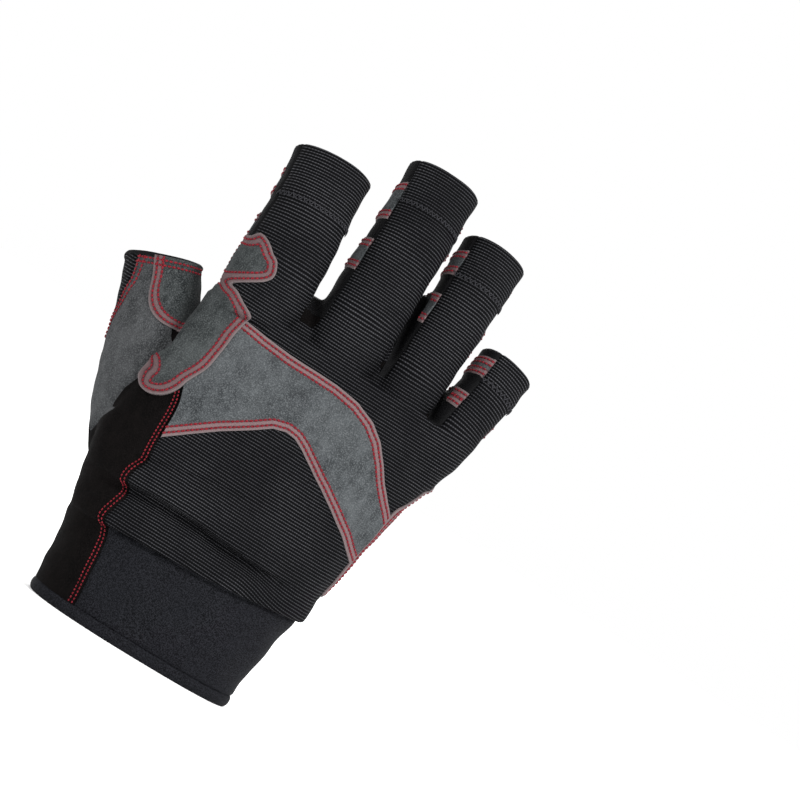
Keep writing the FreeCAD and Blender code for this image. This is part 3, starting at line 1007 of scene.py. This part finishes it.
def ribbed_material():
    """Black rib knit: a painted grey highlight along each crest over painted shade in the valleys, broken by the
    knit's columns.
    """
    k = Nodes("ribbed_stretch", (0.008, 0.008, 0.01), 0.8)
    wobble = k.times(k.noise(6.0, 2.0), 0.3)
    rib = k.wave(k.plus(k.value("rib"), wobble), RIB_PITCH)
    knit = k.wave(k.plus(k.value("wale"), k.times(wobble, 0.6)), 0.84)
    crest = k.math("POWER", rib, 4.0)
    thread = k.times(crest, k.plus(k.times(knit, 0.7), 0.3))
    thread = k.times(thread, k.plus(k.times(k.noise(1.3, 2.0), 1.1), 0.35))
    large = k.ramp(k.noise(26.0, 2.0), 0.3, 0.7)
    # painted highlight on the crests, its brightness varied at random; the near-black valley colour below is
    # painted shade
    painted_highlight = k.mix(large, (0.055, 0.055, 0.061), (0.105, 0.106, 0.115))
    tone = k.mix(thread, (0.0008, 0.0008, 0.0012), painted_highlight)
    return k.finish(tone, k.plus(crest, k.times(thread, 0.6)), 0.26)


def suede_edge(k, tone, grain, band):
    """The pressed, paler band along a sewn edge, with its needle rows darkened by painted shade in the holes,
    tinted red by the thread, and its raw rim.
    """
    edge = k.value("edge")
    pressed = k.times(k.ramp(edge, 3.5, 2.8), k.plus(k.times(grain, 0.8), 0.4))
    tone = k.mix(pressed, tone, band)
    for row in ROWS:
        near = k.math("ABSOLUTE", k.math("SUBTRACT", edge, row))
        # each stitch row is darkened to red-black: painted shade in the needle holes, tinted by the red thread
        tone = k.mix(k.times(k.ramp(near, 0.5, 0.12), 0.72), tone, (0.028, 0.008, 0.011))
    return k.mix(k.times(k.ramp(edge, 0.6, 0.15), 0.65), tone, (0.13, 0.115, 0.115))


def suede_material(name, base, light, dark, band=None, sheen=0.02):
    """Brushed suede: mottled nap and fine grain."""
    k = Nodes(name, base, 0.92, sheen=sheen, sheen_roughness=0.45)
    mottled = k.ramp(k.noise(3.4, 4.0, (1, 1, 0.7)), 0.3, 0.72)
    grain = k.noise(0.42, 3.0)
    cloud = k.ramp(k.noise(17.0, 3.0), 0.3, 0.7)
    tone = k.mix(mottled, dark, base)
    tone = k.mix(k.times(k.ramp(grain, 0.4, 0.75), 0.62), tone, light)
    tone = k.mix(k.times(k.ramp(k.noise(0.5, 2.0), 0.5, 0.75), 0.3), tone, dark)
    tone = k.mix(k.times(cloud, 0.22), tone, light)
    if band:
        tone = suede_edge(k, tone, grain, band)
    height = k.plus(k.times(grain, 0.7), k.times(k.noise(0.16, 2.0), 0.5))
    return k.finish(tone, height, 0.16)


def neoprene_material():
    k = Nodes("neoprene", (0.005, 0.0057, 0.0075), 0.75)
    fine = k.noise(0.42, 2.0)
    knit = k.times(k.wave(k.value("rib"), 0.42), k.wave(k.value("wale"), 0.5))
    tone = k.mix(k.ramp(fine, 0.36, 0.66), (0.0022, 0.0023, 0.003), (0.0145, 0.0150, 0.0182))
    tone = k.mix(k.times(k.ramp(k.noise(14.0, 3.0), 0.3, 0.75), 0.3), tone, (0.0075, 0.0082, 0.0105))
    return k.finish(tone, k.plus(knit, fine), 0.09)


def smooth_material(name):
    k = Nodes(name, (0.005, 0.005, 0.0055), 0.7)
    fine = k.noise(0.3, 2.0)
    course = k.wave(k.value("rib"), 0.55)
    tone = k.mix(k.ramp(fine, 0.3, 0.7), (0.0009, 0.0009, 0.0011), (0.007, 0.007, 0.0076))
    tone = k.mix(k.times(k.ramp(k.noise(8.0, 3.0), 0.35, 0.7), 0.5), tone, (0.0065, 0.0065, 0.007))
    return k.finish(tone, k.plus(k.times(course, 0.6), fine), 0.1)


def thread_material(name, light, dark):
    k = Nodes(name, light, 0.55, sheen=0.03)
    twist = k.noise(0.35, 1.0, (1, 1, 2.5))
    return k.finish(k.mix(k.ramp(twist, 0.38, 0.62), dark, light), twist, 0.08)


def hook_material():
    k = Nodes("hook_loop", (0.01, 0.01, 0.011), 0.9, sheen=0.4)
    fuzz = k.noise(0.5, 4.0)
    tone = k.mix(k.ramp(fuzz, 0.35, 0.7), (0.004, 0.004, 0.004), (0.04, 0.04, 0.043))
    return k.finish(tone, fuzz, 0.5)


# Each fabric is its material and its slot. GREY_SHADE is a darker copy of the grey suede: painted shade for the
# web and the thumb's inner patch, which lie in more shade than the arch.
RIB = (ribbed_material(), "ribbed_stretch")
GREY = (suede_material("grey_suede", (0.042, 0.0462, 0.049), (0.13, 0.139, 0.144),
                       (0.013, 0.015, 0.0165), (0.16, 0.102, 0.105)), "grey_suede")
GREY_SHADE = (suede_material("grey_suede_painted_shade", (0.03, 0.0335, 0.034), (0.095, 0.103, 0.104),
                             (0.01, 0.012, 0.0125), (0.12, 0.076, 0.079)), "grey_suede")
# The plain grey suede has no edge band and is darker than GREY: painted shade on the thumb's outer panel and the
# thenar.
GREY_PLAIN_SHADED = (suede_material("grey_suede_plain_shaded", (0.036, 0.0375, 0.039), (0.108, 0.112, 0.116),
                             (0.013, 0.014, 0.015)), "grey_suede")
BLACK = (suede_material("black_suede", (0.0022, 0.0017, 0.0017), (0.0065, 0.0052, 0.005),
                        (0.0006, 0.0005, 0.0005), sheen=0.0), "black_suede")
NEOPRENE = (neoprene_material(), "neoprene")
SMOOTH = (smooth_material("smooth_stretch"), "smooth_stretch")
BINDING = (smooth_material("binding"), "binding")
HOOK = (hook_material(), "hook_loop")
RED = (thread_material("red_thread", (0.23, 0.017, 0.026), (0.065, 0.004, 0.007)), "red_thread")
DARK_THREAD = (thread_material("dark_thread", (0.03, 0.03, 0.034), (0.012, 0.012, 0.014)), "ribbed_stretch")


# ======== the glove's pieces

def bend(a, b, sleeve, start=-TEAR_MARGIN, end=BLEND_AFTER):
    """Bodies a and b and the ends of a sleeve's bend line, for cloth that lies on body a before the line and on
    body b past it; the cloth is only baked in place.
    """
    return (a, b, sleeve.world(0, 0, start), sleeve.world(0, 0, end))


def cloth(name, skin, fabric, how, replaces=()):
    piece(name, skin, seam_dip(skin), WALL, fabric, how, replaces)


def overlay(name, skin, fabric, how, replaces, lift=0.0):
    """Suede sewn on a panel, with its double row of red thread; lift raises it over the arch."""
    skin = skin.main_parts()
    edge = skin.values["edge"]
    press = sum(0.16 * bump(edge - row, 0.45) for row in ROWS)
    over_arch = smoothstep((skin.values["arch"] + 0.8) / 1.6)
    top = SUEDE + lift * over_arch - press - 0.3 * fading(edge, 0.7)
    piece(name, skin, top, SUNK, fabric, how, replaces)
    stitches(name + "_stitches", rows_on(skin.raised(top), "edge", ROWS), RED, how)


def make_hand(skin):
    index_skin = skin.within("index", "not_thumb")
    skin = skin.within("hand", "not_thumb").main_parts(0.02)
    cloth("back_cloth", skin.where("right_of_seam", "dorsal", "above_cuff"), RIB, "hand", ("back_panel",))
    cuff = skin.where("below_cuff", "not_side", "above_hem")
    cloth("cuff_cloth", cuff, NEOPRENE, "hand", ("cuff_band",))
    hem = skin.where("hem_top", "foot")
    roll = np.sin(np.pi * np.clip(hem.values["z"] / HEM_HEIGHT, 0, 1)) ** 0.6
    piece("cuff_hem_fold", hem, 0.75 * roll - 0.25, WALL + 0.2, NEOPRENE, "hand", ("cuff_hem",))
    make_side(skin.where("left_of_seam", "radial", "above_hem"))
    palm = skin.where("not_back", "not_side", "above_cuff")
    cloth("palm_cloth", palm, BLACK, "hand", ("palm_panel",))
    overlay("arch_overlay", skin.where("arch").within("arch_side"), GREY, "hand", ("back_overlay",))
    for grip, node in (("palm_grip", "palm_patch"), ("heel_grip", "heel_patch"),
    ("edge_grip", "edge_patch")):
        overlay(grip, skin.where(grip), GREY, "hand", (node,))
    lower = skin.where("web").within("web_left")
    overlay("web_patch_lower", lower, GREY_SHADE, "hand", ("web_patch",), lift=SUEDE)
    upper = index_skin.where("web").within("web_left")
    overlay("web_patch_upper", upper, GREY_SHADE, bend("hand", "index_base", SLEEVES["index"][0]),
            ("web_patch_lobe",), lift=SUEDE)


def make_side(side):
    """The black side panel and the grey panel below the thumb."""
    dark = side.where("not_thenar", "left_of_seam").within("not_thumb_rib")
    cloth("side_cloth", dark, BLACK, "hand", ("side_panel",))
    grey = side.where("thenar", "radial").within("not_thumb_rib").main_parts()
    cloth("thenar_cloth", grey, GREY_PLAIN_SHADED, "hand", ("thenar_panel",))
    row = side.raised(0.05).within("not_web")
    stitches("side_seam_stitches", rows_on(row, "left_of_seam", SEAM_ROWS), RED, "hand",
             pitch=1.25, radius=0.26, share=0.7)
    stitches("thenar_stitches", rows_on(grey.raised(0.1), "thumb_seam", THUMB_ROWS), RED, "hand")


def make_sleeve_part(name, part, skin, how):
    """The ribbed back and smooth wrap of one finger's base or tip; a tip has a doubled, rounded hem."""
    label = "%s_%s" % (name, part)
    for side, field, fabric in (("back", name + "_back", RIB), ("wrap", "wrap", SMOOTH)):
        cut = skin.where(field)
        end = cut.values[name + "_end"]
        thick = 0.35 * smoothstep((HEM_ROWS[name] + 1.2 - end) / 1.2) if part == "tip" else 0.0
        round_end = 0.7 * fading(end, 0.9) if part == "tip" else 0.0
        piece("%s_%s_cloth" % (label, side), cut, seam_dip(cut) + thick - round_end, WALL - round_end,
              fabric, how, ("%s_%s" % (label, side),))


def make_grip(name, part, skin, how):
    """The suede grip on one finger's base or tip."""
    label = "%s_%s" % (name, part)
    patch = skin.where(label + "_patch")
    patch = patch.clip(patch.values["wrap"] - GRIP_INSET.get(name, 0))
    patch = patch.clip(patch.values[name] - 1.6).main_parts()
    top = SUEDE - 0.25 * fading(patch.values["edge"], 0.7) - 0.25
    piece(label + "_grip", patch, top, 0.2, GREY, how, (label + "_patch",))
    stitches(label + "_grip_stitches", rows_on(patch.raised(top), label + "_patch", ROWS), RED, how)


def make_finger(name, skin):
    base, tip = SLEEVES[name]
    whole = skin.within(name, name + "_end")
    low = whole.clip(-whole.values[name + "_split"])
    high = whole.clip(whole.values[name + "_split"])
    tip_how = bend(name + "_base", name + "_tip", tip, -4, 9)
    parts = (("base", low, bend("hand", name + "_base", base)), ("tip", high, tip_how))
    for part, part_skin, how in parts:
        part_skin.values["wrap"] = -part_skin.values[name + "_back"]
        make_sleeve_part(name, part, part_skin, how)
        make_grip(name, part, part_skin, how)
    hem = rows_on(high.where(name + "_back").raised(0.42), name + "_end", (HEM_ROWS[name],))
    stitches(name + "_hem_stitches", hem, DARK_THREAD, tip_how, pitch=0.95, radius=0.2, share=2.5, lean=1.5)


def make_thumb(skin):
    how = bend("hand", "thumb", SLEEVES["thumb"][0], -TEAR_MARGIN, 10)
    whole = skin.within("thumb", "thumb_end")
    whole.values["body"] = whole.values["thumb_end"] - 0.6
    whole.values["bound"] = THUMB_BOUND - whole.values["thumb_end"]
    body = whole.where("body")
    cloth("thumb_rib_cloth", body.where("thumb_rib"), RIB, how, ("thumb_back",))
    outer = body.where("thumb_outer")
    outer.values["edge"] = np.minimum(outer.values["thumb_seam"], outer.values["body"])
    cloth("thumb_outer_cloth", outer, GREY_PLAIN_SHADED, how, ("thumb_outer_panel",))
    rest = body.where("not_thumb_rib", "not_thumb_outer")
    cloth("thumb_palm_cloth", rest, BLACK, how, ("thumb_palm",))
    seam = outer.raised(0.1).within("not_thumb_inner")
    seam = seam.clip(seam.values["thumb_end"] - 1.6)
    stitches("thumb_seam_stitches", rows_on(seam, "thumb_seam", THUMB_ROWS), RED, how)
    front = body.within("thumb_front")
    overlay("thumb_inner_cloth", front.where("thumb_inner"), GREY_SHADE, how, ("thumb_inner_patch",))
    bound = whole.where("bound")
    rolled = 0.3 - 0.8 * fading(bound.values["thumb_end"], 1.0)
    piece("thumb_bound_edge", bound, rolled, WALL + 0.4, BINDING, how, ("thumb_binding",))
    over = SUEDE * smoothstep(front.values["thumb_inner"] / 0.8)
    stitches("thumb_edge_stitches", rows_on(front.raised(over), "thumb_end", THUMB_END_ROWS), RED, how)


# ======== the wrist strap

def cuff_surface(x, z, offset):
    """Points on the palm side of the cuff, raised by offset, and their outward directions."""
    a, b = [np.interp(z, HAND_SECTIONS[:, 0], HAND_SECTIONS[:, i]) for i in (3, 4)]
    t = np.clip(x / a, -0.98, 0.98)
    y = b * (1 - abs(t) ** HAND_POWER) ** (1 / HAND_POWER)
    slope = b / a * np.sign(t) * abs(t) ** (HAND_POWER - 1) * (y / b) ** (1 - HAND_POWER)
    n = np.stack([slope, np.ones_like(slope), 0 * slope], -1)
    n /= np.linalg.norm(n, axis=-1)[..., None]
    height = np.broadcast_to(offset, np.shape(x))[..., None]
    return np.stack([x, y, z], -1) + n * height, n


def grid_faces(across, up):
    """A closed sheet's faces: a grid, the same grid behind it and the rim between them."""
    n = across * up
    faces = []
    for i in range(across - 1):
        for j in range(up - 1):
            a, b, c, d = i * up + j, (i + 1) * up + j, (i + 1) * up + j + 1, i * up + j + 1
            faces.append((a, d, c, b))
            faces.append((a + n, b + n, c + n, d + n))
    rim = [i * up for i in range(across)] + [(across - 1) * up + j for j in range(1, up)]
    rim += [i * up + up - 1 for i in range(across - 2, -1, -1)] + [j for j in range(up - 2, 0, -1)]
    for a, b in zip(rim, rim[1:] + rim[:1]):
        faces.append((a, b, b + n, a + n))
    return faces


def band(name, span, low, high, corner, fabric, how, replaces):
    """A strip of webbing that follows the cuff, with a rounded left end and soft edges."""
    x0, x1, z0, z1 = span
    across, up = 64, 26
    u, w = np.meshgrid(np.linspace(0, 1, across), np.linspace(0, 1, up), indexing="ij")
    left = x0 + corner * (1 - np.sqrt(np.clip(1 - (2 * w - 1) ** 2, 0, 1)))
    x = left + (x1 - left) * u
    z = z0 + (z1 - z0) * w
    soft = fading(np.minimum.reduce([x - left, x1 - x, z - z0, z1 - z]), 1.1)
    top, _ = cuff_surface(x, z, high - soft * (high - low) * 0.42)
    bottom, _ = cuff_surface(x, z, low + soft * (high - low) * 0.3)
    verts = np.vstack([top.reshape(-1, 3), bottom.reshape(-1, 3)])
    material, slot = fabric
    obj = new_object(name, verts, grid_faces(across, up), material)
    add_value(obj, "rib", z.ravel())
    add_value(obj, "wale", x.ravel())
    settle(obj, how, replaces)


def strap_line(points, offset):
    """A polyline of (x, z) points laid on the strap."""
    p = np.array(points, float)
    step = np.concatenate([[0], np.cumsum(np.linalg.norm(np.diff(p, axis=0), axis=1))])
    at = np.linspace(0, step[-1], max(8, int(step[-1] / 0.6)))
    return cuff_surface(np.interp(at, step, p[:, 0]), np.interp(at, step, p[:, 1]), offset)


def node_span(node):
    """(least x, most x, least z, most z) of a CAD node, in mm."""
    low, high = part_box(node)
    return low.x / MM, high.x / MM, low.z / MM, high.z / MM


def make_strap():
    strap = node_span("wrist_strap")
    x0, x1, z0, z1 = strap
    anchor = node_span("strap_anchor")
    band("strap_webbing", strap, STRAP_UNDER, STRAP_TOP, 5, NEOPRENE, "strap", ("wrist_strap",))
    band("strap_hook", node_span("hook_patch"), 1.15, STRAP_UNDER, 4, HOOK, "strap", ("hook_patch",))
    band("strap_loop", node_span("loop_patch"), 0.0, 0.85, 1, HOOK, "hand", ("loop_patch",))
    tab = (anchor[0], anchor[1], z0, z1)
    band("strap_tab", tab, 0.0, STRAP_TOP, 0.5, NEOPRENE, "hand", ("strap_anchor",))
    low, high = z0 + STRAP_INSET, z1 - STRAP_INSET
    run = [(x1 - 1, low), (x0 + 6.5, low), (x0 + 3.2, z0 + 4.6), (x0 + 1.9, (z0 + z1) / 2),
           (x0 + 3.2, z1 - 4.6), (x0 + 6.5, high), (x1 - 1, high)]
    stitches("strap_stitches", [strap_line(run, STRAP_TOP)], RED, "strap", pitch=STRAP_STITCH_PITCH)
    left, right = anchor[0] + 1.6, anchor[1] - 1.6
    box = [(left, low), (right, low), (right, high), (left, high), (left, low)]
    stitches("strap_tab_stitches", [strap_line(box, STRAP_TOP)], RED, "hand", pitch=STRAP_STITCH_PITCH)


# ======== camera, floor and light

def make_camera():
    azimuth = math.radians(CAMERA_AZIMUTH)
    roll = math.radians(CAMERA_ROLL)
    look = Vector((-math.sin(azimuth), math.cos(azimuth), 0))
    level = Vector((math.cos(azimuth), math.sin(azimuth), 0))
    right = level * math.cos(roll) + Vector((0, 0, 1)) * math.sin(roll)
    up = Vector((0, 0, 1)) * math.cos(roll) - level * math.sin(roll)
    data = bpy.data.cameras.new("camera")
    data.sensor_width = SENSOR_WIDTH
    data.lens = SENSOR_WIDTH * CAMERA_DISTANCE / FRAME_WIDTH
    data.clip_start, data.clip_end = 0.05, 20
    camera = placed("camera", data)
    turn = Matrix((right, up, -look)).transposed()
    camera.matrix_world = Matrix.Translation(AIM - look * CAMERA_DISTANCE) @ turn.to_4x4()
    bpy.context.scene.camera = camera
    bpy.context.scene.view_settings.view_transform = "Standard"


def area_light(name, place, size, power):
    data = bpy.data.lights.new(name, "AREA")
    data.size = size
    data.energy = power
    light = placed(name, data)
    light.location = place
    light.rotation_euler = (Vector((0, 0, 0.1)) - Vector(place)).to_track_quat("-Z", "Y").to_euler()


def make_studio():
    paint = Nodes("floor_paint", (0.93, 0.93, 0.93), 0.8)
    paint.inputs["Emission Color"].default_value = (1, 1, 1, 1)
    paint.inputs["Emission Strength"].default_value = 0.12
    mesh = bpy.data.meshes.new("floor")
    s = 4.0
    mesh.from_pydata([(-s, -s, 0), (s, -s, 0), (s, s, 0), (-s, s, 0)], [], [(0, 1, 2, 3)])
    mesh.materials.append(paint.material)
    floor = placed("floor", mesh)
    world = bpy.data.worlds.new("studio")
    world.use_nodes = True
    world.node_tree.nodes["Background"].inputs["Color"].default_value = (1, 1, 1, 1)
    world.node_tree.nodes["Background"].inputs["Strength"].default_value = 1.0
    bpy.context.scene.world = world
    area_light("key", (0.6, -1.0, 0.95), 0.45, 20)
    area_light("fill", (-0.9, -0.8, 0.5), 0.8, 4)
    area_light("back", (0.3, 1.1, 0.8), 0.8, 12)


def main():
    make_camera()
    make_studio()
    points, tris = guide_mesh()
    values = surface_values(points, tris)
    points = folded(points, normals_of(points, tris))
    skin = Skin(points, normals_of(points, tris), tris, values).within("foot")
    make_hand(skin)
    for name in FINGERS:
        make_finger(name, skin)
    make_thumb(skin)
    make_strap()


main()
